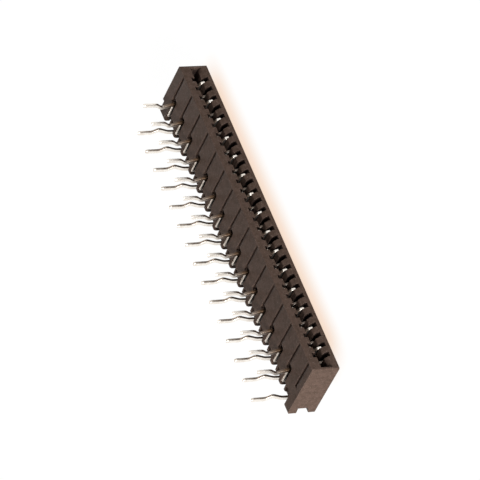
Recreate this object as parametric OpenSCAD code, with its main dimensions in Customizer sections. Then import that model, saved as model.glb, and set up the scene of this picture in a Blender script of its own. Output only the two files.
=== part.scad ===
// Right-angle connector for a flat flex cable: one moulded housing that holds
// two staggered sets of stamped contacts. All sizes are in millimetres.
//
// X runs along the row of contacts. The cable goes in at -Y, the solder tails
// point to +Z, and the flat cover of the housing lies on z = 0.
// Inside the modules y is a depth: it starts at the face that takes the cable.

/* [Row] */
// Pairs of contacts, each pair with one front and one rear solder tail
pairs = 15; // [2:1:15]
// Distance from one contact to the next
pitch = 1.25; // [1.2:0.05:2.5]
// From the middle of the outermost contact to the end of the housing
end_margin = 1.875; // [1.6:0.005:4]

/* [Housing] */
// Depth from the cable face to the back
body_depth = 7.2; // [7.15:0.05:9]
// Height from the cover to the face that sits on the board
body_height = 3.15; // [3.05:0.05:4]
// Radius of the upright corners
corner_r = 0.15; // [0.05:0.05:0.45]

/* [Cable slot] */
// Height of the lower side of the slot above the cover
slot_z = 1.02; // [0.9:0.01:1.1]
// Opening between the two long sides of the slot
slot_gap = 0.92; // [0.85:0.01:0.98]
// How far the cable goes in
slot_depth = 4.2; // [3.8:0.1:4.25]
// Wall between the slot and each end of the housing
slot_end_wall = 0.3; // [0.2:0.05:0.8]
// Depth of the ramp that leads up into the slot
ramp_depth = 0.4; // [0.2:0.05:0.8]
// Height of that ramp
ramp_rise = 0.36; // [0.1:0.01:0.45]
// Bevel along the other side of the mouth
mouth_bevel = 0.1; // [0.05:0.01:0.2]

/* [Contact pockets] */
// Floor of the pockets above the cover
pocket_floor = 0.42; // [0.3:0.01:0.5]
// How far the pockets rise above the slot
pocket_over_slot = 0.46; // [0.35:0.01:0.55]
// Play on each side of the fork, in front
fork_play = 0.14; // [0.05:0.01:0.2]
// Play on each side of the root, behind
root_play = 0.02; // [0.01:0.01:0.05]
// Length of the wide front part of a pocket
fork_pocket_depth = 3.6; // [3:0.1:3.7]

/* [Board face] */
// Thickness of the tooth beside each front contact
tooth_w = 0.32; // [0.28:0.01:0.4]
// Thickness of the tooth beside each rear contact
rear_tooth_w = 0.17; // [0.12:0.01:0.25]
// How much lower the teeth of the rear contacts are
rear_tooth_drop = 0.08; // [0.05:0.01:0.2]
// How far the teeth of the front contacts reach over the channel
tooth_reach = 0.25; // [0.1:0.05:0.4]
// Radius of the ends of the teeth
tooth_end_r = 0.6; // [0.3:0.05:0.65]
// Width of the groove that runs on from a front contact's tooth
groove_w = 0.22; // [0.1:0.01:0.3]
// How far the groove reaches past the tooth
groove_past_tooth = 0.06; // [0:0.01:0.1]
// Depth of the groove
groove_depth = 0.22; // [0.1:0.01:0.4]
// Width of the slope that leads into the groove
groove_slope_w = 0.35; // [0.1:0.01:0.5]
// Depth of that slope
groove_slope_depth = 0.1; // [0.05:0.01:0.2]
// Where the groove starts behind the cable face
groove_start = 0.15; // [0.1:0.05:1]
// Where the groove ends
groove_end = 3.9; // [3.5:0.05:4.2]
// Open width beside each front tail
tail_gap_w = 0.38; // [0.3:0.01:0.5]
// Where the way of a front tail starts behind the cable face
front_way_start = 3.15; // [2.6:0.05:3.5]
// Radius of the front corners of that way
front_way_r = 0.3; // [0.1:0.01:0.34]
// Where the rear step of the board face starts
step_start = 5.2; // [4.7:0.05:5.5]
// Depth of the step below the board face
step_depth = 0.28; // [0.22:0.01:0.5]
// Radius of the edge between the board face and the back
back_edge_r = 0.38; // [0.1:0.01:0.4]

/* [Back channel] */
// Depth of the channel along the back
channel_depth = 0.85; // [0.6:0.05:0.9]
// Height of the lip below the channel
lower_lip = 0.7; // [0.5:0.01:0.95]
// Height of the lip above the channel
upper_lip = 1.02; // [0.85:0.01:1.1]
// Slope of the lower lip
lower_lip_slope = 0.33; // [0:0.01:0.35]
// Slope of the upper lip
upper_lip_slope = 0.07; // [0:0.01:0.15]

/* [Contacts] */
// Thickness of the sheet
contact_t = 0.25; // [0.2:0.01:0.3]
// Where the fork of a front contact starts behind the cable face
front_fork_tip = 0.42; // [0.3:0.01:0.9]
// Where the fork of a rear contact starts behind the cable face
rear_fork_tip = 1.15; // [1:0.05:1.5]
// Height of the spring arm
spring_arm_h = 0.36; // [0.25:0.01:0.42]
// Height of the fixed arm
fixed_arm_h = 0.34; // [0.2:0.01:0.36]
// How far the fixed arm sits above the slot
fixed_arm_up = 0.16; // [0.05:0.01:0.17]
// Opening between the arms where they touch the cable
fork_gap = 0.2; // [0.1:0.01:0.26]
// From the tip of a fork to where it touches the cable
fork_reach = 1.0; // [0.8:0.05:1.3]
// Where the two arms join behind the cable face
fork_root = 4.3; // [4.25:0.05:4.6]
// Where the root of a contact ends
root_end = 5.8; // [5.6:0.05:6.1]
// Depth of the shoulder of a front contact below the board face
shoulder_depth = 0.05; // [0.02:0.01:0.3]

/* [Solder tails] */
// Middle of the front tails behind the cable face
front_tail_y = 4.0; // [3.95:0.01:4.1]
// Distance between the two rows of tails
tail_row_gap = 2.92; // [2.85:0.01:2.96]
// Width of a tail
tail_w = 0.42; // [0.3:0.01:0.44]
// Height of the tails above the board face
tail_length = 3.5; // [2.6:0.1:5]
// Step of the kink that grips the board
kink_step = 0.45; // [0.1:0.05:0.6]
// Height of the kink's outermost point above the board face
kink_z = 1.2; // [0.8:0.05:1.4]
// Height over which the kink runs back to the straight end
kink_return = 0.65; // [0.4:0.05:1]

/* [Hidden] */
$fn = 32;
slack = 0.5;                                   // overrun of a cut past a face
lap = 0.05;                                    // overlap of two shapes that join
row_length = (2 * pairs - 1) * pitch;
body_length = row_length + 2 * end_margin;
slot_top = slot_z + slot_gap;
pocket_roof = slot_top + pocket_over_slot;
channel_start = body_depth - channel_depth;
channel_middle = (lower_lip + body_height - upper_lip) / 2;
step_z = body_height - step_depth;
fork_pocket_w = contact_t + 2 * fork_play;
root_pocket_w = contact_t + 2 * root_play;
wall_side = root_pocket_w / 2;                 // a contact stands close to the wall on its +X side
gap_side = wall_side + tail_gap_w;             // and has open space on its -X side
tooth_side = wall_side + tooth_w;
groove_far = tooth_side + groove_past_tooth;
groove_near = groove_far - groove_w;
rear_tail_y = front_tail_y + tail_row_gap;
tail_top = body_height + tail_length;

function rear_x(k) = -row_length / 2 + 2 * pitch * k;
function front_x(k) = rear_x(k) + pitch;
function two_digits(n) = n < 10 ? str("0", n) : str(n);
function front_name(k) = str("front_contact_", two_digits(k + 1));
function rear_name(k) = str("rear_contact_", two_digits(k + 1));

// ---------- helpers ----------

// Moves depths measured from the cable face into the part's frame.
module from_cable_face() {
    translate([0, -body_depth / 2, 0]) children();
}

// Extrudes a (depth, height) outline along X from x0 to x1.
module along_row(x0, x1) {
    translate([x0, 0, 0]) rotate([90, 0, 90]) linear_extrude(x1 - x0) children();
}

// A box between two corners given along X, in depth and in height.
module span(x0, x1, y0, y1, z0, z1) {
    translate([x0, y0, z0]) cube([x1 - x0, y1 - y0, z1 - z0]);
}

// What radius r takes off the upper back corner of a (depth, height) outline.
module back_corner(y, z, r) {
    difference() {
        translate([y - r, z - r]) square(r + slack);
        translate([y - r, z - r]) circle(r);
    }
}

// ---------- housing ----------

// Side outline of the moulding, with the channel along its back.
module side_outline() {
    difference() {
        polygon([
            [0, 0],
            [body_depth, 0],
            [body_depth, lower_lip],
            [channel_start, lower_lip + lower_lip_slope],
            [channel_start, body_height - upper_lip + upper_lip_slope],
            [body_depth, body_height - upper_lip],
            [body_depth, body_height],
            [0, body_height]
        ]);
        back_corner(body_depth, body_height, back_edge_r);
    }
}

// Plan outline of the moulding, with round corners.
module plan_outline() {
    half = body_length / 2 - corner_r;
    union() {
        translate([-half, 0]) square([2 * half, body_depth]);
        translate([-body_length / 2, corner_r]) square([body_length, body_depth - 2 * corner_r]);
        for (x = [-half, half], y = [corner_r, body_depth - corner_r])
            translate([x, y]) circle(corner_r);
    }
}

// The slot, its ramp on the side of the cover and its bevel on the other.
module cable_slot() {
    half = body_length / 2 - slot_end_wall;
    along_row(-half, half) polygon([
        [slot_depth, slot_z],
        [slot_depth, slot_top],
        [mouth_bevel, slot_top],
        [-slack, slot_top + mouth_bevel + slack],
        [-slack, slot_z - ramp_rise],
        [0, slot_z - ramp_rise],
        [ramp_depth, slot_z]
    ]);
}

// Wide in front, where the fork moves, and close round the root behind. It is
// open at the back, so that the contact slides in.
module contact_pocket() {
    front = fork_pocket_w / 2;
    span(-front, front, -slack, fork_pocket_depth, pocket_floor, pocket_roof);
    span(-wall_side, wall_side, 0, body_depth + slack, pocket_floor, pocket_roof);
}

// Narrow groove with a slope on the side of -X.
module board_groove() {
    top = body_height + slack;
    translate([0, groove_end, 0]) rotate([90, 0, 0])
        linear_extrude(groove_end - groove_start) polygon([
            [groove_near, body_height - groove_depth],
            [groove_far, body_height - groove_depth],
            [groove_far, top],
            [groove_near - groove_slope_w, top],
            [groove_near - groove_slope_w, body_height],
            [groove_near, body_height - groove_slope_depth]
        ]);
}

// The way of a front tail, wide and round in front of the tail and open at
// the back.
module front_tail_way() {
    top = body_height + slack;
    floor_z = pocket_roof - lap;
    far = groove_near + lap;
    front = front_way_start + front_way_r;
    span(-gap_side, wall_side, front, body_depth + slack, floor_z, top);
    span(0, far, front, front_tail_y - tail_w / 2, floor_z, top);
    span(-gap_side + front_way_r, far - front_way_r, front_way_start, front + lap, floor_z, top);
    for (x = [-gap_side + front_way_r, far - front_way_r])
        translate([x, front, floor_z]) cylinder(r = front_way_r, h = top - floor_z);
}

// The way of a rear tail, open at the back.
module rear_tail_way() {
    front = rear_tail_y - tail_w / 2 - root_play;
    span(-wall_side, wall_side, front, body_depth + slack, pocket_roof - lap, body_height + slack);
}

// A tooth of the comb, w thick and up to height z.
module tooth(w, z) {
    span(tooth_side - w, tooth_side, 0, body_depth, 0, z);
}

module front_teeth() {
    for (k = [0 : pairs - 1])
        translate([front_x(k), 0, 0]) tooth(tooth_w, body_height + lap);
}

module rear_teeth() {
    for (k = [0 : pairs - 1])
        translate([rear_x(k), 0, 0]) tooth(rear_tooth_w, body_height - rear_tooth_drop);
}

// The step behind the board face, with a round back edge. A tooth is left
// standing on it beside each contact.
module comb_step(x0, x1) {
    difference() {
        along_row(x0, x1) {
            translate([step_start, step_z])
                square([body_depth + slack - step_start, step_depth + slack]);
            back_corner(channel_start, step_z, back_edge_r);
        }
        front_teeth();
        rear_teeth();
    }
}

// Cuts the upper lip away from depth y on and rounds the edge that is left.
module upper_lip_end(x0, x1, y) {
    along_row(x0, x1) {
        translate([y, channel_middle])
            square([body_depth + slack - y, body_height + slack - channel_middle]);
        back_corner(y, body_height, tooth_end_r);
    }
}

// Frees the rear tails behind the comb. The teeth of the front contacts reach
// a little over the channel.
module open_back(x0, x1) {
    difference() {
        upper_lip_end(x0, x1, channel_start);
        front_teeth();
    }
    upper_lip_end(x0, x1, channel_start + tooth_reach);
}

// The low block at the far end of the comb.
module end_step(x0, x1) {
    along_row(x0, x1) {
        translate([step_start, step_z])
            square([body_depth + slack - step_start, step_depth + slack]);
        back_corner(body_depth, step_z, back_edge_r);
    }
}

module housing() {
    comb_start = rear_x(0) - pitch + tooth_side;
    comb_end = front_x(pairs - 1) + tooth_side;
    color([0.20, 0.17, 0.16]) from_cable_face() difference() {
        intersection() {
            along_row(-body_length / 2, body_length / 2) side_outline();
            linear_extrude(body_height) plan_outline();
        }
        cable_slot();
        for (k = [0 : pairs - 1]) {
            translate([front_x(k), 0, 0]) {
                contact_pocket();
                board_groove();
                front_tail_way();
            }
            translate([rear_x(k), 0, 0]) {
                contact_pocket();
                rear_tail_way();
            }
        }
        translate([rear_x(0) - pitch, 0, 0]) board_groove();
        comb_step(comb_start, comb_end);
        open_back(comb_start, comb_end + lap);
        end_step(comb_end, body_length / 2 + slack);
    }
}

// ---------- contacts ----------

// The two arms of a fork. The spring arm slopes up from its tip to the round
// point that presses the cable against the fixed arm.
module fork(tip) {
    point_y = tip + fork_reach;
    fixed_top = slot_top + fixed_arm_up;
    fixed_z = fixed_top - fixed_arm_h;
    point_z = fixed_z - fork_gap;
    point_r = spring_arm_h / 2;
    tip_z = pocket_floor + 0.8 * spring_arm_h;
    polygon([
        [tip, tip_z],
        [tip + spring_arm_h / 2, tip_z - spring_arm_h / 4],
        [point_y, point_z - 1.6 * spring_arm_h],
        [fork_root, pocket_floor + spring_arm_h / 4],
        [fork_root, pocket_floor + 1.5 * spring_arm_h],
        [point_y + point_r, point_z - point_r],
        [point_y - point_r / 2, point_z - point_r / 4],
        [tip + 0.65 * spring_arm_h, tip_z + spring_arm_h]
    ]);
    translate([point_y, point_z - point_r]) circle(point_r);
    polygon([
        [tip, fixed_top - fixed_arm_h / 2],
        [tip + fixed_arm_h / 2, fixed_z],
        [fork_root, fixed_z],
        [fork_root, fixed_top],
        [tip + fixed_arm_h / 4, fixed_top],
        [tip, fixed_top - fixed_arm_h / 4]
    ]);
}

// The part of a contact that the housing grips.
module root(top) {
    translate([fork_root - lap, pocket_floor])
        square([root_end - fork_root + lap, top - pocket_floor]);
}

// A tail round depth y. It leans to the side of the kink, comes back over a
// short height and ends straight above its foot.
module tail(y, foot_z, side) {
    bend_z = body_height + kink_z;
    straight_z = bend_z + kink_return;
    step = side * kink_step;
    half = tail_w / 2;
    polygon([
        [y - half, foot_z],
        [y + half, foot_z],
        [y + half, body_height],
        [y + half + step, bend_z],
        [y + half, straight_z],
        [y + half, tail_top - half],
        [y + half / 2, tail_top],
        [y - half / 2, tail_top],
        [y - half, tail_top - half],
        [y - half, straight_z],
        [y - half + step, bend_z],
        [y - half, body_height]
    ]);
}

module front_contact() {
    shoulder_z = body_height - shoulder_depth;
    along_row(-contact_t / 2, contact_t / 2) {
        fork(front_fork_tip);
        root(shoulder_z);
        translate([front_tail_y, slot_top])
            square([fork_root - front_tail_y, shoulder_z - slot_top]);
        tail(front_tail_y, slot_top, 1);
    }
}

module rear_contact() {
    neck_z = pocket_roof - tail_w;
    along_row(-contact_t / 2, contact_t / 2) {
        fork(rear_fork_tip);
        root(pocket_roof);
        translate([fork_root, neck_z]) square([rear_tail_y - fork_root, tail_w]);
        tail(rear_tail_y, neck_z, -1);
    }
}

// ---------- assembly ----------

module place(x) {
    color([0.80, 0.78, 0.74]) from_cable_face() translate([x, 0, 0]) children();
}

housing();
for (k = [0 : pairs - 1]) {
    place(front_x(k)) front_contact();
    place(rear_x(k)) rear_contact();
}
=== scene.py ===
import math

import bpy
import numpy as np
from mathutils import Matrix, Vector


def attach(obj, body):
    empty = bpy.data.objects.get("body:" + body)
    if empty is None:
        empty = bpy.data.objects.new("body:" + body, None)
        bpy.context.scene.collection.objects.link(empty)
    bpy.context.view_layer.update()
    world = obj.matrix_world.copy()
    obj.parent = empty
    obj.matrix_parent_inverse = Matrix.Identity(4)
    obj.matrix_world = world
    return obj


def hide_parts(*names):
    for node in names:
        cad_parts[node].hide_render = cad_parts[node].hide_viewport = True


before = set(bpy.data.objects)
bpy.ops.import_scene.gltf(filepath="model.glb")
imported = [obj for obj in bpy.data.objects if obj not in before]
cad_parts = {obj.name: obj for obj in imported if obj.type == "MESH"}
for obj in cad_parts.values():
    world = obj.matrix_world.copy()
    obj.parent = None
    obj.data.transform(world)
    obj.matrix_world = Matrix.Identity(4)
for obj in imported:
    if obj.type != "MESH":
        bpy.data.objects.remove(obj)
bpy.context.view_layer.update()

MM = 0.001

# ---------------------------------------------------------------- camera
# A long lens a short way off, turned on its side, so that the row of
# contacts runs from the upper left to the lower right of the view and the
# solder tails point to the left.
AIM = Vector((0.30, 0.95, 1.76)) * MM
AZIMUTH, ELEVATION, ROLL = math.radians(-37.68), math.radians(28.45), math.radians(93.25)
DISTANCE = 459.8 * MM
LENS, SENSOR = 337.5, 36.0

away = Vector((math.sin(AZIMUTH) * math.cos(ELEVATION),
               -math.cos(AZIMUTH) * math.cos(ELEVATION),
               math.sin(ELEVATION)))
level_right = Vector((math.cos(AZIMUTH), math.sin(AZIMUTH), 0.0))
level_up = away.cross(level_right)
right = level_right * math.cos(ROLL) - level_up * math.sin(ROLL)
up = level_up * math.cos(ROLL) + level_right * math.sin(ROLL)

camera = bpy.data.objects.new("camera", bpy.data.cameras.new("camera"))
camera.data.lens, camera.data.sensor_width = LENS, SENSOR
camera.data.clip_start = 0.01
camera.data.clip_end = 20.0
camera.matrix_world = Matrix.Translation(AIM + away * DISTANCE) @ Matrix(
    (right, up, away)).transposed().to_4x4()
bpy.context.scene.collection.objects.link(camera)
bpy.context.scene.camera = camera
bpy.context.scene.view_settings.view_transform = "Standard"

# ---------------------------------------------------------------- studio
# A sheet of white paper: the floor and the world show as plain white to the
# camera and in reflections, and the floor keeps a faint shadow. One strong
# soft lamp stands beyond the near end of the row, and two weak ones fill in.


def linear(code):
    """An sRGB hex colour as linear RGBA: each channel c is c / 12.92 below
    0.04045, and ((c + 0.055) / 1.055) ** 2.4 above it."""
    c = np.array([int(code[i:i + 2], 16) for i in (1, 3, 5)]) / 255
    c = np.where(c < 0.04045, c / 12.92, ((c + 0.055) / 1.055) ** 2.4)
    return (*c.tolist(), 1.0)


def add(tree, kind, values=None, links=None, **settings):
    """Adds one node: settings are its own properties, values fill input
    sockets, and links join (node, output) pairs to input sockets."""
    node = tree.nodes.new(kind)
    for name, value in settings.items():
        setattr(node, name, value)
    for key, value in (values or {}).items():
        node.inputs[key].default_value = value
    for key, (other, out) in (links or {}).items():
        tree.links.new(other.outputs[out], node.inputs[key])
    return node


def new_material(name):
    """An empty node material and its output node."""
    material = bpy.data.materials.new(name)
    material.use_nodes = True
    material.node_tree.nodes.clear()
    out = add(material.node_tree, "ShaderNodeOutputMaterial")
    return material, material.node_tree, out


def seen_directly(tree):
    """1 where a ray comes from the camera, a mirror or a lens, else 0."""
    path = add(tree, "ShaderNodeLightPath")
    either = add(tree, "ShaderNodeMath", operation="MAXIMUM",
                 links={0: (path, "Is Camera Ray"), 1: (path, "Is Glossy Ray")})
    return add(tree, "ShaderNodeMath", operation="MAXIMUM",
               links={0: (either, 0), 1: (path, "Is Transmission Ray")})


WORLD_LIGHT, FLOOR_SHADE, PAPER_WHITE = 0.18, 0.12, 1.10
# the warm paper colour is painted shade along the slot face
PAPER_COLOURS = {"sheet": "#f4f3f1", "plain": "#ffffff", "painted_warm_shade": "#f4dac5"}
FLOOR_R, FLOOR_Z = 0.9, -0.02 * MM
# where the painted warm shade along the slot face begins and is at its full, and how it ends
# beneath the moulding and past the ends of the row
GLOW_FROM_Y, GLOW_FULL_Y = -6.9 * MM, -3.3 * MM
GLOW_KEPT_Y, GLOW_ENDS_Y = -2.0 * MM, -1.0 * MM
GLOW_KEPT_X, GLOW_ENDS_X = 16 * MM, 21.5 * MM

floor_mat, tree, out = new_material("white_paper_sweep")
paper = add(tree, "ShaderNodeBsdfDiffuse", {"Color": linear(PAPER_COLOURS["sheet"])})
# painted shade: the paper is darker and warmer in a strip along the slot face, standing in for
# the shadow and warm bounce light of the brown moulding close to it
place = add(tree, "ShaderNodeTexCoord")
axes = add(tree, "ShaderNodeSeparateXYZ", links={0: (place, "Object")})
near = add(tree, "ShaderNodeMapRange", {"From Min": GLOW_FROM_Y, "From Max": GLOW_FULL_Y},
           {"Value": (axes, "Y")}, interpolation_type="SMOOTHSTEP")
before = add(tree, "ShaderNodeMapRange", {"From Min": GLOW_ENDS_Y, "From Max": GLOW_KEPT_Y},
             {"Value": (axes, "Y")})
half = add(tree, "ShaderNodeMath", links={0: (axes, "X")}, operation="ABSOLUTE")
between = add(tree, "ShaderNodeMapRange", {"From Min": GLOW_ENDS_X, "From Max": GLOW_KEPT_X},
              {"Value": (half, 0)}, interpolation_type="SMOOTHSTEP")
strip = add(tree, "ShaderNodeMath", links={0: (near, 0), 1: (before, 0)}, operation="MULTIPLY")
strip = add(tree, "ShaderNodeMath", links={0: (strip, 0), 1: (between, 0)}, operation="MULTIPLY")
# a colour Mix node has its two colours on the sockets 6 and 7
tint = add(tree, "ShaderNodeMix",
           {6: linear(PAPER_COLOURS["plain"]), 7: linear(PAPER_COLOURS["painted_warm_shade"])},
           {"Factor": (strip, 0)}, data_type="RGBA")
glow = add(tree, "ShaderNodeEmission", {"Strength": PAPER_WHITE}, {"Color": (tint, 2)})
shown = add(tree, "ShaderNodeMath", {1: 1.0 - FLOOR_SHADE}, {0: (seen_directly(tree), 0)},
            operation="MULTIPLY")
mixed = add(tree, "ShaderNodeMixShader", links={0: (shown, 0), 1: (paper, 0), 2: (glow, 0)})
# from below the sheet is clear, so that the cover of the part shows
facing = add(tree, "ShaderNodeNewGeometry")
clear = add(tree, "ShaderNodeBsdfTransparent")
sheet = add(tree, "ShaderNodeMixShader",
            links={0: (facing, "Backfacing"), 1: (mixed, 0), 2: (clear, 0)})
tree.links.new(sheet.outputs[0], out.inputs["Surface"])

turn = np.linspace(0, 2 * math.pi, 96, endpoint=False)
floor_mesh = bpy.data.meshes.new("floor")
floor_mesh.from_pydata(
    np.stack([FLOOR_R * np.cos(turn), FLOOR_R * np.sin(turn), 0 * turn + FLOOR_Z],
             axis=1).tolist(),
    [], [list(range(len(turn)))])
floor_mesh.materials.append(floor_mat)
floor = bpy.data.objects.new("floor", floor_mesh)
bpy.context.scene.collection.objects.link(floor)

world = bpy.data.worlds.new("studio")
world.use_nodes = True
tree = world.node_tree
tree.nodes.clear()
soft = add(tree, "ShaderNodeBackground", {"Color": (1, 1, 1, 1), "Strength": WORLD_LIGHT})
plain = add(tree, "ShaderNodeBackground", {"Color": (1, 1, 1, 1), "Strength": 1.0})
mixed = add(tree, "ShaderNodeMixShader",
            links={0: (seen_directly(tree), 0), 1: (soft, 0), 2: (plain, 0)})
add(tree, "ShaderNodeOutputWorld", links={"Surface": (mixed, 0)})
bpy.context.scene.world = world


def soft_lamp(name, direction, distance, size, energy):
    """A square area lamp that looks at the part from one direction."""
    lamp = bpy.data.lights.new(name, "AREA")
    lamp.size, lamp.energy = size, energy
    lamp_object = bpy.data.objects.new(name, lamp)
    d = Vector(direction).normalized()
    lamp_object.location = AIM + d * distance
    lamp_object.rotation_mode = "QUATERNION"
    lamp_object.rotation_quaternion = (-d).to_track_quat("-Z", "Y")
    bpy.context.scene.collection.objects.link(lamp_object)


soft_lamp("end_lamp", (-0.95, -0.33, 0.10), distance=0.5, size=0.25, energy=4.7)
soft_lamp("top_lamp", (-0.10, -0.45, 0.88), distance=0.6, size=0.40, energy=0.2)
soft_lamp("back_lamp", (0.75, 0.65, 0.12), distance=0.6, size=0.40, energy=1.4)

# --------------------------------------------------------------- housing
# One injection moulding in dark brown glass-filled polyester: a long bar with a cable slot, a
# pocket for each contact and a grooved board face. The skin is matt with fine flow mottling and
# its thin edges are paler; painted shade darkens the pockets, the slot and the grooves.
# the darkest colour is painted shade for closed-in places
HOUSING_COLOURS = {"deep": "#4f4037", "skin": "#614f46", "fibre": "#a8978c",
                   "pale_edge": "#8c7b71", "painted_recess_shade": "#170f0e"}
EDGE_R, PAINTED_SHADE_REACH, GRAIN_DEPTH = 0.05 * MM, 1.2 * MM, 0.012 * MM

housing_mat, tree, out = new_material("glass_filled_polyester")
place = add(tree, "ShaderNodeTexCoord")
# flow mottling half a millimetre across, over a grain of 0.12 mm
flow = add(tree, "ShaderNodeTexNoise", {"Scale": 2.0 / MM, "Detail": 3.0, "Roughness": 0.6},
           {"Vector": (place, "Object")})
grain = add(tree, "ShaderNodeTexNoise", {"Scale": 8.0 / MM, "Detail": 2.0, "Roughness": 0.7},
            {"Vector": (place, "Object")})
ramp = add(tree, "ShaderNodeValToRGB", links={"Fac": (flow, "Fac")})
for stop, place_on_ramp, name in zip(ramp.color_ramp.elements, (0.30, 0.62), ("deep", "skin")):
    stop.position, stop.color = place_on_ramp, linear(HOUSING_COLOURS[name])
# where the rounded normal leaves the true one, the face is near an edge
rounded = add(tree, "ShaderNodeBevel", {"Radius": EDGE_R}, samples=8)
true = add(tree, "ShaderNodeNewGeometry")
alike = add(tree, "ShaderNodeVectorMath", links={0: (rounded, 0), 1: (true, "True Normal")},
            operation="DOT_PRODUCT")
edge = add(tree, "ShaderNodeMapRange", {"From Min": 0.995, "From Max": 0.80},
           {"Value": (alike, "Value")})
# the edges are made paler in flecks, by the grain
pale_edge = add(tree, "ShaderNodeMath", links={0: (edge, 0), 1: (grain, "Fac")},
             operation="MULTIPLY")
# glass fibres that reach the skin show as pale specks, 0.1 mm across
speck = add(tree, "ShaderNodeMapRange", {"From Min": 0.60, "From Max": 0.78, "To Max": 0.6},
            {"Value": (grain, "Fac")})
fibred = add(tree, "ShaderNodeMix", {7: linear(HOUSING_COLOURS["fibre"])},
             {"Factor": (speck, 0), 6: (ramp, 0)}, data_type="RGBA")
pale_edged = add(tree, "ShaderNodeMix", {7: linear(HOUSING_COLOURS["pale_edge"])},
           {"Factor": (pale_edge, 0), 6: (fibred, 2)}, data_type="RGBA")
# painted shade: the pockets and the slot, below the board face, are darkened towards near black,
# over the paler edges too, by how much a place is closed in; the grooves in that face less so
open_sky = add(tree, "ShaderNodeAmbientOcclusion", {"Distance": PAINTED_SHADE_REACH}, samples=8,
               only_local=True)
painted_shade_amount = add(tree, "ShaderNodeMapRange", {"From Min": 0.85, "From Max": 0.50, "To Max": 0.95},
             {"Value": (open_sky, "AO")})
axes = add(tree, "ShaderNodeSeparateXYZ", links={0: (place, "Object")})
below = add(tree, "ShaderNodeMapRange",
            {"From Min": 3.0 * MM, "From Max": 2.8 * MM, "To Min": 0.4}, {"Value": (axes, "Z")})
painted_shade_amount = add(tree, "ShaderNodeMath", links={0: (painted_shade_amount, 0), 1: (below, 0)}, operation="MULTIPLY")
with_painted_shade = add(tree, "ShaderNodeMix", {7: linear(HOUSING_COLOURS["painted_recess_shade"])},
               {"Factor": (painted_shade_amount, 0), 6: (pale_edged, 2)}, data_type="RGBA")
bump = add(tree, "ShaderNodeBump", {"Strength": 0.25, "Distance": GRAIN_DEPTH},
           {"Height": (grain, "Fac"), "Normal": (rounded, 0)})
rough = add(tree, "ShaderNodeMapRange", {"To Min": 0.55, "To Max": 0.70},
            {"Value": (flow, "Fac")})
skin = add(tree, "ShaderNodeBsdfPrincipled", {"Specular IOR Level": 0.05, "IOR": 1.55},
           {"Base Color": (with_painted_shade, 2), "Roughness": (rough, 0), "Normal": (bump, 0)})
tree.links.new(skin.outputs[0], out.inputs["Surface"])

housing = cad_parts["housing"]
housing.data.materials.clear()
housing.data.materials.append(housing_mat)

# -------------------------------------------------------------- contacts
# Thirty flat contacts stamped from 0.25 mm phosphor bronze strip that was plated with matt tin
# first, so that the sheared edges are bare and brown; the same brown is also painted shade on
# parts of their edges and faces.
# One side of each edge is rolled over by the punch, the other is sharp.
PAIRS, PITCH = 15, 1.25
# in millimetres, with depths from the slot face and heights from the cover
BODY_DEPTH, BOARD_Z = 7.2, 3.15
SHEET, ROLLED_R, SHARP_R = 0.25, 0.05, 0.015
POCKET_FLOOR, SLOT_TOP, POCKET_ROOF = 0.42, 1.94, 2.40
SPRING_H, FIXED_H = 0.36, 0.34
FIXED_TOP = SLOT_TOP + 0.16
FIXED_Z = FIXED_TOP - FIXED_H
POINT_Z = FIXED_Z - 0.20
FRONT_FORK, REAR_FORK, FORK_REACH = 0.42, 1.15, 1.0
ARMS_JOIN, ROOT_END = 4.25, 5.8
FRONT_TAIL, REAR_TAIL, TAIL_W = 4.0, 6.92, 0.42
TAIL_TOP = BOARD_Z + 3.5
KINK_STEP, KINK_Z, STRAIGHT_Z = 0.45, BOARD_Z + 1.2, BOARD_Z + 1.85
SHOULDER_Z, NECK_Z = BOARD_Z - 0.05, POCKET_ROOF - TAIL_W


def round_off(corners):
    """Closed outline with round corners. Each row is depth, height and how
    far the rounding reaches along both sides, at most 0.45 of the shorter
    one; a corner P becomes the curve (1-t)^2 A + 2t(1-t) P + t^2 C, where A
    and C are the ends of that reach."""
    corners = np.array(corners, float)
    p, reach = corners[:, :2], corners[:, 2:]
    to_last, to_next = np.roll(p, 1, 0) - p, np.roll(p, -1, 0) - p
    last_l = np.linalg.norm(to_last, axis=1, keepdims=True)
    next_l = np.linalg.norm(to_next, axis=1, keepdims=True)
    reach = np.minimum(reach, 0.45 * np.minimum(last_l, next_l))
    a, c = p + reach * to_last / last_l, p + reach * to_next / next_l
    t = np.linspace(0, 1, 6)[None, :, None]
    curve = (1 - t) ** 2 * a[:, None] + 2 * t * (1 - t) * p[:, None] + t ** 2 * c[:, None]
    return curve.reshape(-1, 2)


def fixed_arm_tip(tip):
    """Corners of the fixed arm from its top round the tip to its underside."""
    return [(tip + FIXED_H / 4, FIXED_TOP, 0.04), (tip, FIXED_TOP - FIXED_H / 4, 0.04),
            (tip, FIXED_TOP - FIXED_H / 2, 0.06), (tip + FIXED_H / 2, FIXED_Z, 0.06),
            (ARMS_JOIN, FIXED_Z, 0.12), (ARMS_JOIN, POCKET_FLOOR + 1.5 * SPRING_H, 0.12)]


def spring_arm(tip):
    """Corners of the spring arm from the root over its contact point, round
    the tip and back along its underside."""
    point = tip + FORK_REACH
    tip_z = POCKET_FLOOR + 0.8 * SPRING_H
    return [(point + SPRING_H / 2, POINT_Z - SPRING_H / 2, 0.08),
            (point + SPRING_H / 3, POINT_Z, 0.12), (point - SPRING_H / 3, POINT_Z, 0.10),
            (tip + 0.65 * SPRING_H, tip_z + SPRING_H, 0.12), (tip, tip_z, 0.08),
            (tip + SPRING_H / 2, tip_z - SPRING_H / 4, 0.08),
            (point, POINT_Z - 1.6 * SPRING_H, 0.25),
            (ARMS_JOIN, POCKET_FLOOR + SPRING_H / 4, 0.06)]


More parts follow.
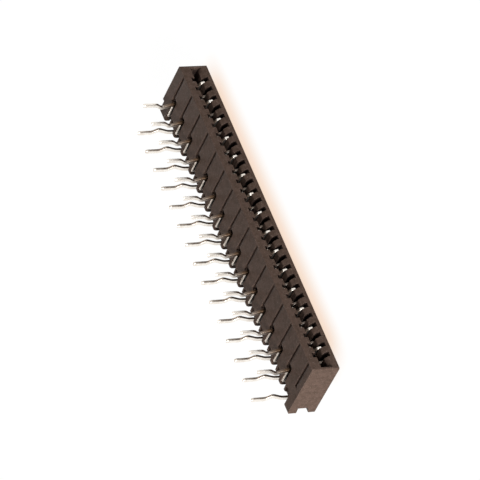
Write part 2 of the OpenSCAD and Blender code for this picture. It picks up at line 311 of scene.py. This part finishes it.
def tail_sides(middle, side):
    """Corners of a tail, up its back edge and down its front edge. The kink
    steps to one side and comes back to the straight end."""
    back, front = middle + TAIL_W / 2, middle - TAIL_W / 2
    step = side * KINK_STEP
    end = TAIL_TOP - TAIL_W / 2
    return [(back, BOARD_Z, 0.25), (back + step, KINK_Z, 0.28), (back, STRAIGHT_Z, 0.28),
            (back, end, 0.06), (middle + TAIL_W / 4, TAIL_TOP, 0.05),
            (middle - TAIL_W / 4, TAIL_TOP, 0.05), (front, end, 0.06),
            (front, STRAIGHT_Z, 0.28), (front + step, KINK_Z, 0.28), (front, BOARD_Z, 0.25)]


def stamped(name, outline, x, bare_and_shaded_edge, painted_face_shade):
    """One mesh of equal sheets at the places x. The outline is repeated in
    rings across the sheet; towards a face with edge radius r a ring at angle
    a lies r (1 - cos a) inside that face and is drawn in by r (1 - sin a)
    along the outline's normal. Both faces are closed by one polygon.
    The last two arguments say, for each point of the outline, how brown its sheared edge and its
    face are: the edge partly as bare bronze and partly as painted shade, the face as painted
    shade. The attribute that carries this brown is the larger of the edge value times sin(a) ** 2
    and the face value."""
    along = np.roll(outline, -1, 0) - np.roll(outline, 1, 0)
    along /= np.linalg.norm(along, axis=1, keepdims=True)
    outward = np.stack([along[:, 1], -along[:, 0]], axis=1)
    a = np.linspace(0, math.pi / 2, 4)
    across = np.concatenate([ROLLED_R * (1 - np.cos(a)) - SHEET / 2,
                             SHEET / 2 - SHARP_R * (1 - np.cos(a[::-1]))])
    drawn_in = np.concatenate([ROLLED_R * (1 - np.sin(a)), SHARP_R * (1 - np.sin(a[::-1]))])
    side = outline - drawn_in[:, None, None] * outward
    rings, n = side.shape[:2]
    sheet = np.concatenate([np.broadcast_to(across[:, None, None], (rings, n, 1)), side], axis=2)
    points = np.array([0, -BODY_DEPTH / 2, 0]) + np.stack([sheet + [c, 0, 0] for c in x])
    j = np.arange(n)
    ring = np.arange(rings - 1)[:, None] * n
    wall = np.stack([ring + j, ring + np.roll(j, -1), ring + n + np.roll(j, -1), ring + n + j],
                    axis=-1).reshape(-1, 4)
    start = (np.arange(len(x)) * rings * n)[:, None]
    walls = (wall[None] + start[:, None]).reshape(-1, 4)
    near = (start + j[::-1]).tolist()
    far = (start + (rings - 1) * n + j).tolist()
    mesh = bpy.data.meshes.new(name)
    mesh.from_pydata((points.reshape(-1, 3) * MM).tolist(), [], walls.tolist() + near + far)
    mesh.polygons.foreach_set("use_smooth", np.arange(len(mesh.polygons)) < len(walls))
    # edges and faces turn brown, as bare bronze and as painted shade
    bare_and_shade = np.concatenate([np.sin(a), np.sin(a[::-1])])[:, None] ** 2 * bare_and_shaded_edge
    bare_and_shade = np.maximum(bare_and_shade, painted_face_shade)
    bare_and_painted_shade = mesh.attributes.new("bare_and_painted_shade", "FLOAT", "POINT")
    bare_and_painted_shade.data.foreach_set("value", np.tile(bare_and_shade.ravel(), len(x)).astype(np.float32))
    piece = bpy.data.objects.new(name, mesh)
    bpy.context.scene.collection.objects.link(piece)
    return piece


rear_x = -(2 * PAIRS - 1) * PITCH / 2 + 2 * PITCH * np.arange(PAIRS)
root_foot = [(ARMS_JOIN, POCKET_FLOOR, 0.05), (ROOT_END, POCKET_FLOOR, 0.08)]
front_outline = round_off(
    spring_arm(FRONT_FORK) + root_foot +
    [(ROOT_END, SHOULDER_Z, 0.10), (FRONT_TAIL + TAIL_W / 2, SHOULDER_Z, 0.04)] +
    tail_sides(FRONT_TAIL, 1) +
    [(FRONT_TAIL - TAIL_W / 2, FIXED_TOP, 0.15)] + fixed_arm_tip(FRONT_FORK))
rear_outline = round_off(
    spring_arm(REAR_FORK) + root_foot +
    [(ROOT_END, NECK_Z, 0.15), (REAR_TAIL + TAIL_W / 2, NECK_Z, 0.30)] +
    tail_sides(REAR_TAIL, -1) +
    [(REAR_TAIL - TAIL_W / 2, POCKET_ROOF, 0.10), (ARMS_JOIN, POCKET_ROOF, 0.05),
     (ARMS_JOIN, FIXED_TOP, 0.05)] + fixed_arm_tip(REAR_FORK))
# How brown each point of an outline is, from 0 to 1: bare of tin on the edges, and painted shade
# on the edges and faces. A front contact's edge is brown from behind the tip of its fork up to
# the kink of its tail, with painted shade on its faces up to there, and less so on the shoulder,
# which shows behind the tail. The edge of a rear contact is brown all round, less so at the end
# of its tail, and its faces carry half-strength painted shade inside the moulding.
EDGE_BARE_AND_SHADE_FROM, EDGE_BARE_AND_SHADE_TO = 0.8, 4.35
FACE_SHADE_FROM, FACE_SHADE_TO = 0.62, 4.5
SHOULDER_EDGE, SHOULDER_FACE = 0.55, 0.4
REAR_EDGE, REAR_END_EDGE, REAR_FACE = 0.8, 0.3, 0.5

depth, height = front_outline.T
shoulder = (depth > FRONT_TAIL + TAIL_W / 2 + 0.02) & (height > SHOULDER_Z - 0.1)
front_edge = np.clip((depth - EDGE_BARE_AND_SHADE_FROM) / 0.2, 0, 1) \
    * np.clip((EDGE_BARE_AND_SHADE_TO - height) / 0.4, 0, 1) * np.where(shoulder, SHOULDER_EDGE, 1.0)
front_face = np.clip((depth - FACE_SHADE_FROM) / 0.15, 0, 1) \
    * np.clip((FACE_SHADE_TO - height) / 0.5, 0, 1) * np.where(shoulder, SHOULDER_FACE, 1.0)
height = rear_outline[:, 1]
rear_edge = np.where(height > TAIL_TOP - 0.3, REAR_END_EDGE, REAR_EDGE)
rear_face = np.where(height > POCKET_ROOF + 0.1, 0.0, REAR_FACE)
front_contacts = stamped("front_contacts", front_outline, rear_x + PITCH, front_edge, front_face)
rear_contacts = stamped("rear_contacts", rear_outline, rear_x, rear_edge, rear_face)

# Matt tin: a soft warm silver with a fine grain along the rolled strip, over bronze that has gone
# brown where it is bare; the same brown serves as painted shade on edges and faces.
TIN_COLOURS = {"dull": "#ece3d8", "bright": "#fbf6ee", "bare_and_painted_shade": "#65503f"}

tin_mat, tree, out = new_material("matt_tin_plating")
place = add(tree, "ShaderNodeTexCoord")
spangle = add(tree, "ShaderNodeTexNoise", {"Scale": 2.5 / MM, "Detail": 3.0},
              {"Vector": (place, "Object")})
ramp = add(tree, "ShaderNodeValToRGB", links={"Fac": (spangle, "Fac")})
for stop, place_on_ramp, name in zip(ramp.color_ramp.elements, (0.35, 0.65), ("dull", "bright")):
    stop.position, stop.color = place_on_ramp, linear(TIN_COLOURS[name])
bare_and_painted_shade = add(tree, "ShaderNodeAttribute", attribute_name="bare_and_painted_shade")
colour = add(tree, "ShaderNodeMix", {7: linear(TIN_COLOURS["bare_and_painted_shade"])},
             {"Factor": (bare_and_painted_shade, "Fac"), 6: (ramp, 0)}, data_type="RGBA")
# rolling lines 0.03 mm apart run along the strip, that is along Z
lines = add(tree, "ShaderNodeMapping", {"Scale": (1.0, 1.0, 0.06)}, {"Vector": (place, "Object")})
grain = add(tree, "ShaderNodeTexNoise", {"Scale": 30.0 / MM, "Detail": 2.0},
            {"Vector": (lines, 0)})
bump = add(tree, "ShaderNodeBump", {"Strength": 0.15, "Distance": 0.003 * MM},
           {"Height": (grain, "Fac")})
smooth = add(tree, "ShaderNodeMapRange", {"To Min": 0.20, "To Max": 0.32},
             {"Value": (spangle, "Fac")})
rough = add(tree, "ShaderNodeMath", {1: 0.25}, {0: (bare_and_painted_shade, "Fac"), 2: (smooth, 0)},
            operation="MULTIPLY_ADD")
tin = add(tree, "ShaderNodeBsdfPrincipled", {"Metallic": 1.0},
          {"Base Color": (colour, 2), "Roughness": (rough, 0), "Normal": (bump, 0)})
tree.links.new(tin.outputs[0], out.inputs["Surface"])

for piece, row in ((front_contacts, "front_contact"), (rear_contacts, "rear_contact")):
    piece.data.materials.append(tin_mat)
    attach(piece, "root")
    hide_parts(*[f"{row}_{k + 1:02d}" for k in range(PAIRS)])
for name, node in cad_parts.items():
    if name != "housing":
        node.data.materials.clear()
        node.data.materials.append(tin_mat)
